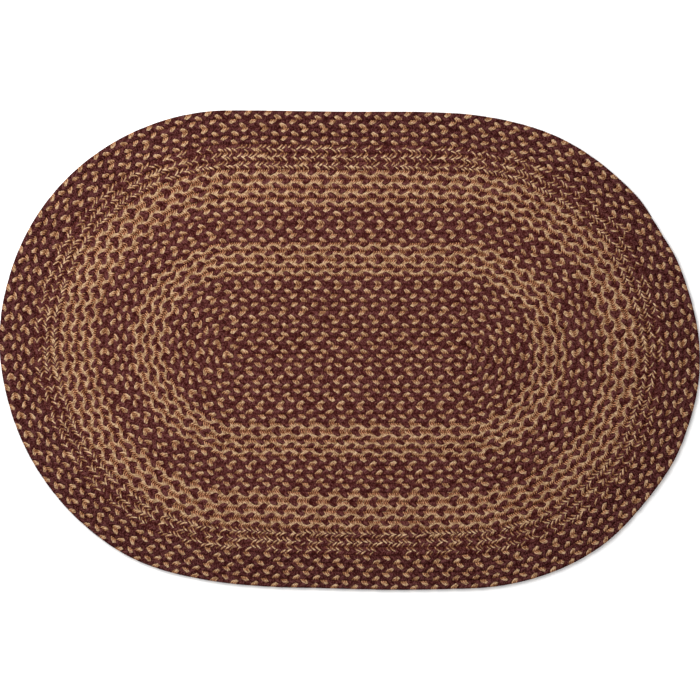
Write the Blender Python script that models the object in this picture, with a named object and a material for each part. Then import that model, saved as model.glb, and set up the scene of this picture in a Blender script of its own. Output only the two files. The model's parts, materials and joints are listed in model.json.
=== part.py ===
"""An oval rug: one flat three-strand jute braid, coiled round its own straight start and laced row to row.

Metres, +Z up. The rug lies on z = 0 with the middle of its box at the origin and its length along X.
The braid leaves the middle and winds outwards clockwise, seen from above. Each row keeps its distance
from the middle for most of a turn, and steps out by one row in the same arc at the upper right.
"""

import math
from collections import namedtuple

import bmesh
import bpy

# Driving dimensions
START_LENGTH = 0.289  # the straight middle braid, between the two points that the round ends turn about
LEAN = 0.038  # how far the rug has slipped sideways for each metre of its width
THICKNESS = 0.0082  # from the floor to the crown of a row
SEAM_DEPTH = 0.0028  # from the crown of a row to the laced seam beside it
RIM_HEIGHT = 0.0043  # where the rug's outer edge is widest
UNDERSIDE_ROUND = ((0.0007, 0.0018), (0.0026, 0.0))  # (distance in from the widest edge, height)

# The arc where a row steps out by one, in degrees clockwise from +Y about the right-hand point. The outer
# rows step between STEP_START and STEP_END. The braid can't bend that sharply near the middle, so the
# first row takes from 0 to FIRST_STEP_END, and each further row comes nearer to the short arc.
STEP_START = 45.0
STEP_END = 59.0
FIRST_STEP_END = 104.0
STEP_EASING = 0.78  # how much of the difference from the short arc is left with each further row

# The rows in bands, from the middle outwards. The middle braid counts as half a row on each side.
Band = namedtuple("Band", "name rows row_width yarn")
BANDS = (
    Band("centre field", 8.5, 0.01125, "burgundy"),
    Band("inner light band", 4, 0.01110, "tan"),
    Band("middle dark band", 4, 0.01145, "burgundy"),
    Band("outer light band", 4, 0.01210, "tan"),
    Band("mixed band", 3, 0.01090, "mixed"),
    Band("edge band", 4, 0.01090, "burgundy"),
)

# Where the hand-laced outline strays from a true oval. Bearings are clockwise from +Y about the middle.
Stray = namedtuple("Stray", "name bearing half_width outwards")
STRAYS = (
    Stray("upper right shoulder", 33, 17, -0.0032),
    Stray("corner at the tail", 63, 5, 0.0012),
    Stray("dip past the tail", 70, 5, -0.0020),
    Stray("right end", 92, 14, 0.0028),
    Stray("lower right shoulder", 118, 12, -0.0030),
    Stray("lower side", 170, 28, 0.0030),
    Stray("lower left shoulder", 213, 18, -0.0055),
    Stray("left end", 272, 12, 0.0012),
    Stray("upper side", 336, 28, 0.0018),
)

# Strand colours, in linear light
Yarn = namedtuple("Yarn", "name colour")
YARNS = (
    Yarn("burgundy", (0.085, 0.019, 0.023)),
    Yarn("tan", (0.520, 0.310, 0.135)),
    Yarn("mixed", (0.200, 0.090, 0.050)),
)

# How finely the ribs are drawn
POINTS_PER_ROW = 4  # crown, shoulder, seam, shoulder
END_COLUMNS = 20  # on a half turn
SIDE_COLUMNS = 4  # on a straight side
STEP_COLUMNS = 3  # in the short arc of the step
MERGE = 0.00001

ROWS = sum(band.rows for band in BANDS)
EDGE = round(ROWS * POINTS_PER_ROW)  # the number of the outermost point of a column
INNER = -POINTS_PER_ROW  # the first point, which leaves the middle only in the step


def reach(row):
    """Distance from the centre line at a row number. Row 0 is the middle braid's own centre."""
    distance = 0.0
    for band in BANDS:
        taken = min(max(row, 0.0), band.rows)
        distance += taken * band.row_width
        row -= taken
    return distance


def rib_height(point):
    """Height of a point of a column, where point 0 is the middle braid's crown and EDGE the rug's edge."""
    point = min(max(point, 0), EDGE)
    across = abs((point / POINTS_PER_ROW + 0.5) % 1.0 - 0.5) * 2.0
    floor = RIM_HEIGHT if point > EDGE - POINTS_PER_ROW / 2 else THICKNESS - SEAM_DEPTH
    return THICKNESS - (THICKNESS - floor) * across**2


def blend(start, end, share):
    return start + (end - start) * share


def step_share(row, bearing):
    """How much of its step a row has taken at a bearing."""
    early = STEP_EASING ** max(row - 1.0, 0.0)
    start = STEP_START * (1.0 - early)
    end = blend(STEP_END, FIRST_STEP_END, early)
    share = min(max((bearing - start) / (end - start), 0.0), 1.0)
    return share * share * (3.0 - 2.0 * share)


Column = namedtuple("Column", "anchor bearing steps")


def arc(anchor, first, last, columns, steps=False):
    """Columns round one end, about a point on the centre line."""
    return [Column(anchor, blend(first, last, k / columns), steps) for k in range(columns)]


def side(first, last, bearing):
    """Columns along one straight side."""
    return [Column(blend(first, last, k / SIDE_COLUMNS), bearing, False) for k in range(SIDE_COLUMNS)]


def one_turn():
    """The columns of one turn, clockwise from where every row has stepped out to the same place again."""
    right, left = START_LENGTH / 2, -START_LENGTH / 2
    spacing = 180.0 / END_COLUMNS
    return (
        arc(right, FIRST_STEP_END, 180.0, round((180.0 - FIRST_STEP_END) / spacing))
        + side(right, left, 180.0)
        + arc(left, 180.0, 360.0, END_COLUMNS)
        + side(left, right, 360.0)
        + arc(right, 0.0, STEP_START, round(STEP_START / spacing), steps=True)
        + arc(right, STEP_START, STEP_END, STEP_COLUMNS, steps=True)
        + arc(right, STEP_END, FIRST_STEP_END, round((FIRST_STEP_END - STEP_END) / spacing), steps=True)
        + [Column(right, FIRST_STEP_END, True)]
    )


def stray(x, y):
    """How far the outline strays outwards at the bearing of (x, y)."""
    bearing = math.degrees(math.atan2(x, y)) % 360.0
    total = 0.0
    for place in STRAYS:
        off = abs((bearing - place.bearing + 180.0) % 360.0 - 180.0) / place.half_width
        total += place.outwards * 0.5 * (1.0 + math.cos(math.pi * min(off, 1.0)))
    return total


def place(column, point):
    """Where a point of a column lies on the finished rug."""
    bearing = math.radians(column.bearing)
    rows = [min(max(p / POINTS_PER_ROW, 0.0), ROWS) for p in (point, point + POINTS_PER_ROW)]
    share = step_share(rows[0], column.bearing) if column.steps else 0.0
    distance = blend(reach(rows[0]), reach(rows[1]), share)
    height = blend(rib_height(point), rib_height(point + POINTS_PER_ROW), share)
    x, y = column.anchor + distance * math.sin(bearing), distance * math.cos(bearing)
    distance += stray(x, y) * (distance / reach(ROWS)) ** 2
    x, y = column.anchor + distance * math.sin(bearing), distance * math.cos(bearing)
    return x - LEAN * y, y, height


def yarn_number(point):
    """Which yarn a face belongs to, by the number of its inner point."""
    row = max(point + 0.5, 0.0) / POINTS_PER_ROW
    names = [yarn.name for yarn in YARNS]
    for band in BANDS:
        if row < band.rows:
            return names.index(band.yarn)
        row -= band.rows
    return names.index(BANDS[-1].yarn)


def coil_top(bm):
    """A flat grid wound into the coiled, ribbed top. A column's end meets its start one row further out."""
    columns = one_turn()
    turns, points = len(columns) - 1, EDGE - INNER
    bmesh.ops.create_grid(bm, x_segments=turns, y_segments=points, size=0.5)
    for face in bm.faces:
        middle = face.calc_center_median()
        face.material_index = yarn_number(INNER + math.floor((middle.y + 0.5) * points))
    for vert in bm.verts:
        column = columns[round((vert.co.x + 0.5) * turns)]
        vert.co = place(column, INNER + round((vert.co.y + 0.5) * points))
    bmesh.ops.remove_doubles(bm, verts=bm.verts, dist=MERGE)


def inwards(vert, distance):
    """Moves a point of the edge towards the centre line."""
    anchor = min(max(vert.co.x, -START_LENGTH / 2), START_LENGTH / 2)
    x, y = vert.co.x - anchor, vert.co.y
    share = 1.0 - distance / math.hypot(x, y)
    vert.co.x, vert.co.y = anchor + x * share, y * share


def close_underside(bm):
    """Rounds the edge under and closes the rug with one flat face on the floor."""
    widest = 0.0
    for distance, height in UNDERSIDE_ROUND:
        edges = [edge for edge in bm.edges if edge.is_boundary]
        made = bmesh.ops.extrude_edge_only(bm, edges=edges)["geom"]
        for vert in (item for item in made if isinstance(item, bmesh.types.BMVert)):
            inwards(vert, distance - widest)
            vert.co.z = height
        widest = distance
    bmesh.ops.edgeloop_fill(bm, edges=[edge for edge in bm.edges if edge.is_boundary])
    bmesh.ops.recalc_face_normals(bm, faces=bm.faces)


def centre_on_origin(bm):
    """Puts the middle of the rug's box over the origin."""
    for axis in (0, 1):
        places = [vert.co[axis] for vert in bm.verts]
        middle = (min(places) + max(places)) / 2
        for vert in bm.verts:
            vert.co[axis] -= middle


def braid_material(yarn):
    """Matt plant fibre in the yarn's colour."""
    material = bpy.data.materials.new(f"{yarn.name} braid")
    material.use_nodes = True
    shader = material.node_tree.nodes["Principled BSDF"]
    shader.inputs["Base Color"].default_value = (*yarn.colour, 1.0)
    shader.inputs["Roughness"].default_value = 0.9
    shader.inputs["Metallic"].default_value = 0.0
    material.diffuse_color = (*yarn.colour, 1.0)
    return material


def make_rug(collection):
    mesh = bpy.data.meshes.new("braided_rug")
    bm = bmesh.new()
    coil_top(bm)
    close_underside(bm)
    centre_on_origin(bm)
    bm.to_mesh(mesh)
    bm.free()
    for yarn in YARNS:
        mesh.materials.append(braid_material(yarn))
    mesh.shade_smooth()
    mesh.set_sharp_from_angle(angle=math.radians(60))
    rug = bpy.data.objects.new("braided_rug", mesh)
    collection.objects.link(rug)
    return rug


def main():
    for item in list(bpy.data.objects):
        bpy.data.objects.remove(item, do_unlink=True)
    collection = bpy.data.collections.new("braided rug")
    bpy.context.scene.collection.children.link(collection)
    rug = make_rug(collection)
    print(rug.name, "size in metres:", [round(side, 4) for side in rug.dimensions])


main()
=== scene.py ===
# %% [markdown]
# An oval rug of one flat jute braid. Three strands, each of three thick yarns, are plaited into a flat
# braid about 11 mm wide and 43 m long. The braid is coiled round its own straight start and laced to
# itself, row to row. Dark rows have two burgundy strands and one tan strand, and light rows have two tan
# strands and one burgundy strand, so the rings of the rug are a matter of which strand goes where.
# Because a braid is a rule and not a picture, it is made here the way it is made by hand: first the
# straight plait, stitch by stitch, and then the winding. The solid rug gives the size of the whole.

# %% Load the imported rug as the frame
import json
import math
from collections import namedtuple

import bmesh
import bpy
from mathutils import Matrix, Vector, noise

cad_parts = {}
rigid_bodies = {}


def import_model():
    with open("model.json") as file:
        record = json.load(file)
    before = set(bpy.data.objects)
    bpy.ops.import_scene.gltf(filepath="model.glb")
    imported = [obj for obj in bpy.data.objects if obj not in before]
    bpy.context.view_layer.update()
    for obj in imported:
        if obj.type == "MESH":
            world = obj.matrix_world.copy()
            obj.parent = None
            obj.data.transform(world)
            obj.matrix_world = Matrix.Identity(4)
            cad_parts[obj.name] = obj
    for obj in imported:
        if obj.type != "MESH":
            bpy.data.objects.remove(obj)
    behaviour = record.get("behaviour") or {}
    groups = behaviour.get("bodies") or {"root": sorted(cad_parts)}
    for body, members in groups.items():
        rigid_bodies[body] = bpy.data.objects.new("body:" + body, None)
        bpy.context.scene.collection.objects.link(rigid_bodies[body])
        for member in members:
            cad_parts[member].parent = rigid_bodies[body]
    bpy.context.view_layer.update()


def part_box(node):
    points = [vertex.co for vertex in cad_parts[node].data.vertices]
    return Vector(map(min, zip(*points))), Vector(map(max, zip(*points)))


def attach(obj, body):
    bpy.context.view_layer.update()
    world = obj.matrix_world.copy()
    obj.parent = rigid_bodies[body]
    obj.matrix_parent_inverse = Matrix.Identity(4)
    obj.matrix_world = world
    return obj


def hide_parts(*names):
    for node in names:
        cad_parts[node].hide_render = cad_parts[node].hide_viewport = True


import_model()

low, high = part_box("braided_rug")
LENGTH, WIDTH, THICKNESS = high - low
print(f"the solid rug is {LENGTH:.4f} x {WIDTH:.4f} x {THICKNESS:.4f} m")

# %% [markdown]
# The rows come in bands from the middle outwards. A row is 11 to 12 mm wide, and each band has its own
# width because thicker and thinner yarn was used. The same widths shape the solid, so the coil below
# runs in the solid's own ribs. `light_strands` says how many of the three strands are tan. In the mixed
# band the yarns inside each strand differ too, and `mixed_share` is the part of them that is tan, at the
# band's start and at its end.

# %% The bands of the coil
Band = namedtuple("Band", "name rows row_width light_strands mixed_share")
BANDS = (
    Band("centre_field", 8.5, 0.01125, 1, None),
    Band("inner_light_band", 4, 0.01110, 2, None),
    Band("middle_dark_band", 4, 0.01145, 1, None),
    Band("outer_light_band", 4, 0.01210, 2, None),
    Band("mixed_band", 3, 0.01090, 1, (0.52, 0.29)),
    Band("edge_band", 4, 0.01090, 1, None),
)
ROWS = sum(band.rows for band in BANDS)


def reach(row):
    """Distance from the centre line at a row number. Row 0 is the middle braid's own centre."""
    distance = 0.0
    for band in BANDS:
        taken = min(max(row, 0.0), band.rows)
        distance += taken * band.row_width
        row -= taken
    return distance


print(f"{ROWS} rows reach {reach(ROWS):.4f} m from the centre line")

# %% [markdown]
# A coiled braid is a spiral, but this one keeps an even oval for most of each turn and moves out by one
# row in a step at the upper right. In the outer rows the step is short. Near the middle, where jute would
# have to bend sharply, it takes more of the turn, and the first turn steps all the way round the bend in
# the middle braid. A smoothstep carries each row outwards. The solid's ribs follow the same rule.

# %% Where the rows step outwards
STEP_START = 45.0  # degrees clockwise from +Y about the right-hand point
STEP_END = 59.0
FIRST_STEP_END = 104.0
STEP_EASING = 0.78  # how much of the difference from the short step is left with each further row
LAST_TURN = int(ROWS)


def blend(start, end, share):
    return start + (end - start) * share


def step_range(row):
    """The bearings between which a row steps outwards."""
    early = STEP_EASING ** max(row - 1.0, 0.0)
    return STEP_START * (1.0 - early), blend(STEP_END, FIRST_STEP_END, early)


def step_share(row, bearing):
    """How much of its step a row has taken at a bearing."""
    start, end = step_range(row)
    share = min(max((bearing - start) / (end - start), 0.0), 1.0)
    return share * share * (3.0 - 2.0 * share)


def stepping_reach(row, bearing):
    """Distance from the right-hand point to a row while it steps."""
    return blend(reach(row), reach(min(row + 1.0, ROWS)), step_share(row, bearing))


for row in (1, 4, 9, LAST_TURN):
    print(f"row {row} steps between {step_range(row)[0]:.0f} and {step_range(row)[1]:.0f} degrees")

# %% [markdown]
# The braid's centre line is made of short pieces: straight sides, round ends, and one tight bend in the
# middle. Half a row on either side of the line lie the seams, so the width of the braid is the distance
# between them. Where a row steps outwards, both of its seams do, each by its own rule.

# %% The pieces of the path
START_LENGTH = 0.289  # the straight middle braid, between the points that the round ends turn about
PATH_SPACING = 0.0045
SHORTEST_ARC, LONGEST_ARC = 1.0, 6.0  # degrees between two points round an end, whatever the spacing
MIDDLE_BEND_POINTS = 16
PathPoint = namedtuple("PathPoint", "x y row width")


def point_at(anchor, bearing, row, inner, outer, share=0.0):
    """A point of the path between its two seams."""
    angle, distance = math.radians(bearing), (inner + outer) / 2
    x, y = anchor + distance * math.sin(angle), distance * math.cos(angle)
    return PathPoint(x, y, row + share, outer - inner)


def bearings(first, last, row):
    """Even bearings from first to just before last."""
    arc = min(max(math.degrees(PATH_SPACING / reach(row)), SHORTEST_ARC), LONGEST_ARC)
    count = max(math.ceil((last - first) / arc), 1)
    return [blend(first, last, k / count) for k in range(count)]


def round_end(anchor, first, last, row):
    """Points round one end at an even distance."""
    inner, outer = reach(row - 0.5), reach(row + 0.5)
    return [point_at(anchor, bearing, row, inner, outer) for bearing in bearings(first, last, row)]


def stepping_end(anchor, last, row):
    """Points round the right-hand end while the braid steps out to the next row."""
    points = []
    for bearing in bearings(0.0, last, row):
        inner, outer = stepping_reach(row - 0.5, bearing), stepping_reach(row + 0.5, bearing)
        points.append(point_at(anchor, bearing, row, inner, outer, step_share(row, bearing)))
    return points


def straight(first, last, y, row):
    """Points along a straight side."""
    count = math.ceil(abs(last - first) / PATH_SPACING)
    width = reach(row + 0.5) - reach(row - 0.5) if row else BANDS[0].row_width
    return [PathPoint(blend(first, last, k / count), y, row, width) for k in range(count)]


def middle_bend(x):
    """The half circle in which the middle braid bends back."""
    radius = reach(1) / 2
    points = []
    for k in range(MIDDLE_BEND_POINTS):
        share = k / MIDDLE_BEND_POINTS
        angle = math.pi * share
        place = (x + radius * math.sin(angle), radius * (math.cos(angle) - 1.0))
        points.append(PathPoint(*place, share, BANDS[0].row_width))
    return points


print(f"the middle braid bends back on a radius of {reach(1) / 2 * 1000:.1f} mm")

# %% [markdown]
# The pieces are joined turn by turn, clockwise and outwards: a straight middle, the bend back, and then a
# round end, a straight side and a round end again for each row. In the last step the two seams of the
# braid meet, and that makes the tapered tail. A single formula for a spiral would be shorter, but its
# sides would never run parallel, as they do on a rug that is laced on a table.

# %% The path of the coil
START_TUCK = 0.0062  # how far the braid's start reaches past its round end
BEND_PAST_END = 0.0068  # how far past its end point the middle braid runs before it bends back
TAIL_END = 0.86  # how much of the last step the tail takes, because a real tail is cut off and tucked in


def coil_path():
    """The whole centre line of the braid, from its start in the middle to its tail."""
    right, left = START_LENGTH / 2, -START_LENGTH / 2
    bend_x = right + BEND_PAST_END
    points = straight(left - START_TUCK, bend_x, 0.0, 0)
    points += middle_bend(bend_x)
    points += straight(bend_x, left, -reach(1), 1)
    for turn in range(1, LAST_TURN + 1):
        points += round_end(left, 180.0, 360.0, turn)
        points += straight(left, right, reach(turn), turn)
        start, end = step_range(turn)
        if turn < LAST_TURN:
            points += stepping_end(right, end, turn)
            points += round_end(right, end, 180.0, turn + 1)
            points += straight(right, left, -reach(turn + 1), turn + 1)
        else:
            points += stepping_end(right, blend(start, end, TAIL_END), turn)
    return points


path = coil_path()
print(f"the path has {len(path)} points")

# %% [markdown]
# A rug that is laced by hand is never a true oval: it has slipped sideways a little, and bulges here and
# dips there. The places and sizes below are the solid's own. Every point of the path is moved by them,
# the outer rows most, and then the whole coil is set with the middle of its outline over the origin.

# %% Laying the coil as the hand-laced rug lies
LEAN = 0.038  # how far the rug has slipped sideways for each metre of its width
Stray = namedtuple("Stray", "name bearing half_width outwards")
STRAYS = (
    Stray("upper right shoulder", 33, 17, -0.0032),
    Stray("corner at the tail", 63, 5, 0.0012),
    Stray("dip past the tail", 70, 5, -0.0020),
    Stray("right end", 92, 14, 0.0028),
    Stray("lower right shoulder", 118, 12, -0.0030),
    Stray("lower side", 170, 28, 0.0030),
    Stray("lower left shoulder", 213, 18, -0.0055),
    Stray("left end", 272, 12, 0.0012),
    Stray("upper side", 336, 28, 0.0018),
)


def stray(x, y):
    """How far the outline strays outwards at the bearing of (x, y)."""
    bearing = math.degrees(math.atan2(x, y)) % 360.0
    total = 0.0
    for place in STRAYS:
        off = abs((bearing - place.bearing + 180.0) % 360.0 - 180.0) / place.half_width
        total += place.outwards * 0.5 * (1.0 + math.cos(math.pi * min(off, 1.0)))
    return total


def lay(x, y):
    """Moves a point of the true oval to where it lies on the finished rug."""
    anchor = min(max(x, -START_LENGTH / 2), START_LENGTH / 2)
    distance = math.hypot(x - anchor, y)
    if distance > 0.0:
        moved = 1.0 + stray(x, y) * distance / reach(ROWS) ** 2
        x, y = anchor + (x - anchor) * moved, y * moved
    return x - LEAN * y, y


def laid_outline():
    """The rug's outline, one point for each degree."""
    points = []
    for degree in range(360):
        anchor = START_LENGTH / 2 if degree < 180 else -START_LENGTH / 2
        angle = math.radians(degree)
        points.append(lay(anchor + reach(ROWS) * math.sin(angle), reach(ROWS) * math.cos(angle)))
    return points


outline = laid_outline()
middle_x, middle_y = [(min(values) + max(values)) / 2 for values in zip(*outline)]
print(f"the outline's middle is moved by {middle_x:.5f}, {middle_y:.5f} m")

# %% [markdown]
# The path becomes a chain of edges, not a curve object, because a mesh can carry facts along with it.
# Each point knows how wide the braid is there, how many of its strands are tan and what part of its
# yarns is tan. Geometry Nodes reads all of them at any distance along the braid. The tail is plain
# burgundy, because its tan strand has been trimmed away.

# %% The path as a chain that carries the braid's width and yarns
PATH_FACTS = ("braid_width", "light_strands", "mixed_share")
TAIL_FADE = 0.08  # the share of the last step by which the tail's tan strand is trimmed away


def band_facts(turn):
    """The band that a turn belongs to, and how far through the band it is from 0 to 1."""
    limit = 0.5  # a band's first row lies half a row outside the seam that the band starts at
    for band in BANDS:
        limit += band.rows
        if turn < limit:
            break
    return band, 1.0 - (limit - turn) / band.rows


def make_path(points):
    """The coil as a mesh chain, and how far along it each band starts."""
    mesh = bpy.data.meshes.new("coil_path")
    bm = bmesh.new()
    width, light, mixed = (bm.verts.layers.float.new(name) for name in PATH_FACTS)
    starts, previous, length = {}, None, 0.0
    for point in points:
        x, y = lay(point.x, point.y)
        vert = bm.verts.new((x - middle_x, y - middle_y, 0.0))
        band, through = band_facts(point.row)
        vert[width] = point.width
        vert[light] = band.light_strands if point.row < LAST_TURN + TAIL_FADE else 0
        vert[mixed] = blend(*band.mixed_share, through) if band.mixed_share else 0.0
        if previous:
            length += (vert.co - previous.co).length
            bm.edges.new((previous, vert))
        starts.setdefault(band.name, length)
        previous = vert
    bm.to_mesh(mesh)
    bm.free()
    return bpy.data.objects.new("coil_path", mesh), starts, length


coil, band_starts, coil_length = make_path(path)
print(f"the braid is {coil_length:.2f} m long, and its bands start at",
      {name: round(start, 2) for name, start in band_starts.items()})

# %% [markdown]
# One stitch is a strand where it crosses over the braid. It comes out from under the strand of the other
# side near the middle line, rises to its crown and leans outwards more and more until it turns down into
# the seam. Its sides lie lower than its middle, and its three yarns spread where they dive. There are
# nearly ten thousand such stitches, so one has only a few dozen faces: six rings of seven points, valley,
# crest, valley and so on over the three yarns. A subdivided tube for every yarn would look as good and
# cost ten times as much.

# %% The rings of one stitch
BRAID_WIDTH = 0.0113  # the width of the braid that the stitch is drawn for, from seam to seam
PITCH = 0.0087  # from one stitch to the next on the same side of the braid
YARNS = 3
# Along and across the braid, below its crown, how the ring lies in degrees, half its width, how deep its
# valleys are and how much lower its sides lie than its middle
Ring = namedtuple("Ring", "along across below lie half groove round")
STITCH_RINGS = (
    Ring(-0.0056, -0.0014, 0.0028, 56, 0.0016, 0.0003, 0.0010),  # tucked under the other side's strand
    Ring(-0.0037, -0.0004, 0.0011, 56, 0.0020, 0.0004, 0.0010),
    Ring(-0.0017, 0.0009, 0.0001, 52, 0.0025, 0.0005, 0.0009),  # the crown
    Ring(0.0003, 0.0022, 0.0000, 40, 0.0031, 0.0006, 0.0009),
    Ring(0.0018, 0.0037, 0.0003, 14, 0.0041, 0.0008, 0.0006),
    Ring(0.0026, 0.0058, 0.0011, 0, 0.0046, 0.0009, 0.0002),  # down in the seam
)
RING_POINTS = 2 * YARNS + 1
# near the seam the yarns get the lacing's red and a painted shade for the shadow in the seam
SEAM_SHADOW = (0.0018, 0.0040)  # between these distances from the middle line the seam's shade comes in
CROWN_HEIGHT = THICKNESS - 0.0002
SEED = 7  # all that is random follows from it, so the rug comes out the same each time
WANDER = 0.00030  # how far a point strays from its place at most
STITCH_STEP = 7.1  # how far apart two stitches and two rings lie in the noise
RING_STEP = 1.7
noise.seed_set(SEED)  # without this the noise would take its seed from the clock


def wander(stitch, number, k):
    """How far the point k of a ring strays."""
    return noise.noise_vector((stitch * STITCH_STEP, number * RING_STEP, k)) * WANDER


def ring_points(ring, stitch, number):
    """The points over one ring, from the left of the strand to its right, each with its share of the seam's
    red and painted shade.
    """
    lie = math.radians(ring.lie)
    for k in range(RING_POINTS):
        off = k / YARNS - 1.0
        shift = wander(stitch, number, k)
        x = ring.along + off * ring.half * math.cos(lie) + shift.x
        y = ring.across - off * ring.half * math.sin(lie) + shift.y
        in_valley = k % 2 == 0
        z = CROWN_HEIGHT - ring.below - ring.round * off * off - ring.groove * in_valley + shift.z
        near_seam = (y - SEAM_SHADOW[0]) / (SEAM_SHADOW[1] - SEAM_SHADOW[0])
        yield x, y, min(z, CROWN_HEIGHT), min(max(near_seam, 0.0), 1.0)


print(f"{len(STITCH_RINGS)} rings of {RING_POINTS} points make a stitch {CROWN_HEIGHT * 1000:.1f} mm high")

# %% [markdown]
# The rings are joined into one closed mesh, because a stray open edge shows in an exported model. The
# mesh also notes what the dye, the dust and the painted shade need to know later: which of the three
# yarns a face belongs to, how deep a point lies, how near it is to the seam, and where it is across and
# along the yarns, as a UV map. The valleys are marked sharp, so that each yarn is shaded as a round one.

# %% Join the rings into a stitch
HOLLOW_DEPTH = THICKNESS - 0.004  # the depth below the crown that counts as 1


def add_rings(bm, side, stitch):
    """The points of a stitch ring by ring, and the UV place of each."""
    depth = bm.verts.layers.float.new("depth")
    seam = bm.verts.layers.float.new("seam")
    rings, marks = [], {}
    for number, ring in enumerate(STITCH_RINGS):
        verts = []
        for k, (x, y, z, near_seam) in enumerate(ring_points(ring, stitch, number)):
            vert = bm.verts.new((x, y * side, z))
            vert[depth] = (CROWN_HEIGHT - z) / HOLLOW_DEPTH
            vert[seam] = near_seam
            marks[vert] = (k / 2, number / (len(STITCH_RINGS) - 1))
            verts.append(vert)
        rings.append(verts)
    return rings, marks


def skin_rings(bm, rings):
    """Faces between the rings, under them and over both ends."""
    yarn = bm.faces.layers.int.new("yarn")
    middle_yarn = YARNS // 2
    for near, far in zip(rings, rings[1:]):
        for k in range(RING_POINTS - 1):
            face = bm.faces.new((near[k], near[k + 1], far[k + 1], far[k]))
            face[yarn] = k // 2
        bm.faces.new((near[-1], near[0], far[0], far[-1]))[yarn] = middle_yarn
    for end in (rings[0], rings[-1]):
        bm.faces.new(end)[yarn] = middle_yarn
    bmesh.ops.recalc_face_normals(bm, faces=bm.faces)


def stitch_mesh(name, side, stitch):
    """One stitch of the outer side (+1) or the inner side (-1) as a closed mesh."""
    bm = bmesh.new()
    uv = bm.loops.layers.uv.new("UVMap")
    rings, marks = add_rings(bm, side, stitch)
    skin_rings(bm, rings)
    for face in bm.faces:
        face.smooth = True
        for loop in face.loops:
            loop[uv].uv = marks[loop.vert]
    for near, far in zip(rings, rings[1:]):
        for k in range(0, RING_POINTS, 2):
            bm.edges.get((near[k], far[k])).smooth = False
    mesh = bpy.data.meshes.new(name)
    bm.to_mesh(mesh)
    bm.free()
    return mesh


trial = stitch_mesh("trial_stitch", 1, 0)
print(f"a stitch has {len(trial.polygons)} faces")
bpy.data.meshes.remove(trial)

# %% [markdown]
# No two hand-laid stitches are alike, so each side of the braid has four versions of its stitch, whose
# points wander by a third of a millimetre at most. They wait in a collection that isn't part of the
# scene. A collection hands its objects out in the order of their names, so the outer side's come first.

# %% The stitch versions
VERSIONS = 4
SIDE_STEP = 10  # how far apart the two sides' stitches are numbered for the noise
stitches = bpy.data.collections.new("stitches")
for side_number, side in enumerate((1, -1)):
    for version in range(VERSIONS):
        name = f"stitch_{side_number}_{version}"
        mesh = stitch_mesh(name, side, side_number * SIDE_STEP + version)
        stitches.objects.link(bpy.data.objects.new(name, mesh))
print("the collection holds", ", ".join(stitch.name for stitch in stitches.objects))

# %% [markdown]
# A node tree written out in full takes five lines a node. These few helpers make it one: a node is added
# with its inputs filled by values or by other nodes' outputs, and common sums, vectors and mixes have a
# name of their own. They serve the Geometry Nodes trees and the shader trees alike.

# %% A short way to write node trees
def fill(tree, socket, value):
    """Links another node's output to a socket, or sets the socket to a value."""
    if isinstance(value, bpy.types.NodeSocket):
        tree.links.new(value, socket)
    else:
        socket.default_value = value


def add(tree, kind, inputs=None, **settings):
    """Adds a node, sets its properties, and fills the inputs that are given by name or by number."""
    node = tree.nodes.new(kind)
    for key, value in settings.items():
        setattr(node, key, value)
    for key, value in (inputs or {}).items():
        if isinstance(key, str):
            key = next(k for k, s in enumerate(node.inputs) if s.name == key and s.enabled)
        fill(tree, node.inputs[key], value)
    return node


def out(node, name=None):
    """The node's enabled output with that name, or its first one."""
    return next(s for s in node.outputs if s.enabled and (name is None or s.name == name))


def math_node(tree, operation, *values):
    return out(add(tree, "ShaderNodeMath", dict(enumerate(values)), operation=operation))


def vector_node(tree, operation, *values):
    return out(add(tree, "ShaderNodeVectorMath", dict(enumerate(values)), operation=operation))


def scale_vector(tree, vector, scale):
    node = add(tree, "ShaderNodeVectorMath", {0: vector}, operation="SCALE")
    fill(tree, node.inputs["Scale"], scale)
    return out(node)


def combine(tree, **axes):
    return out(add(tree, "ShaderNodeCombineXYZ", axes))


def separate(tree, vector):
    place = add(tree, "ShaderNodeSeparateXYZ", {0: vector})
    return [out(place, axis) for axis in "XYZ"]


def remap(tree, value, from_low, from_high, to_low=0.0, to_high=1.0):
    """Carries a value from one range to another, and stops it at both ends."""
    node = add(tree, "ShaderNodeMapRange", {"Value": value, "From Min": from_low, "From Max": from_high,
               "To Min": to_low, "To Max": to_high})
    return out(node, "Result")


def mix(tree, kind, share, first, second, mode="MIX"):
    """Mixes two colours ("RGBA") or two vectors ("VECTOR")."""
    label = {"RGBA": "Color", "VECTOR": "Vector"}[kind]
    node = add(tree, "ShaderNodeMix", data_type=kind, blend_type=mode)
    for name, value in (("Factor_Float", share), (f"A_{label}", first), (f"B_{label}", second)):
        fill(tree, next(s for s in node.inputs if s.identifier == name), value)
    return next(s for s in node.outputs if s.identifier == f"Result_{label}")


# %% [markdown]
# A Geometry Nodes tree has named inputs, as a machine has settings. Facts such as the stitch's number are
# stored on the geometry under a name and read back further on. Random values come from a stitch's number,
# a fixed seed and the kind of draw, so the rug comes out the same each time.

# %% Helpers for Geometry Nodes
DRAWS = {"version": 1, "turn": 2, "move": 3, "size": 4, "mix": 5, "tone": 6}


def new_tree(name, inputs):
    """A Geometry Nodes tree with one geometry output and the named inputs."""
    tree = bpy.data.node_groups.new(name, "GeometryNodeTree")
    tree.interface.new_socket("Geometry", in_out="OUTPUT", socket_type="NodeSocketGeometry")
    for label, kind in inputs.items():
        tree.interface.new_socket(label, in_out="INPUT", socket_type=f"NodeSocket{kind}")
    return tree, tree.nodes.new("NodeGroupInput")


def store(tree, geometry, name, value, domain):
    node = add(tree, "GeometryNodeStoreNamedAttribute", {
        "Geometry": geometry, "Name": name, "Value": value}, domain=domain, data_type="FLOAT")
    return out(node)


def named(tree, name):
    return out(add(tree, "GeometryNodeInputNamedAttribute", {"Name": name}, data_type="FLOAT"))


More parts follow.
